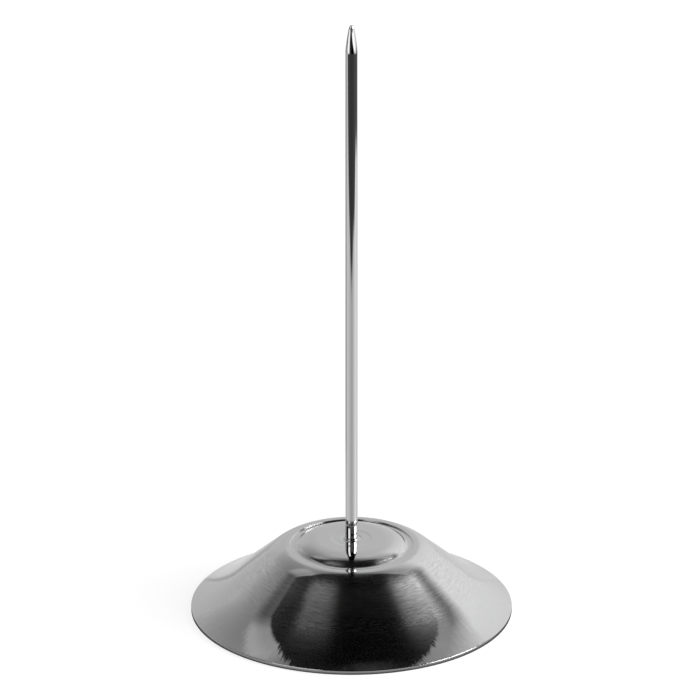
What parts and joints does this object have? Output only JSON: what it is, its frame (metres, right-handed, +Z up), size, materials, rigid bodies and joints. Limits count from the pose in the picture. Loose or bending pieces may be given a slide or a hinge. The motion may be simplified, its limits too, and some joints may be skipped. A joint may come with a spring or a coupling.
{
  "type": "receipt spike",
  "caption": "Upright pointed steel rod on a round flared steel base, for spiking paper receipts and order slips on a counter.",
  "frame": {"origin": "on the table, at the middle of the rim and under the rod", "axes": "+Z up along the rod; the base is round, so X and Y are free, and the lock washer's split faces +X"},
  "size_m": [0.0834, 0.0834, 0.1651],
  "materials": {
    "base_steel": "polished stainless sheet with fine circular marks",
    "rod_steel": "bright polished stainless rod",
    "fixing_steel": "bright zinc plate",
    "spring_steel": "dull spring steel"
  },
  "bodies": {
    "root": {"base_shell": "base_steel", "spike": "rod_steel", "backing_washer": "fixing_steel", "lock_washer": "spring_steel", "hex_nut": "fixing_steel"}
  },
  "joints": []
}
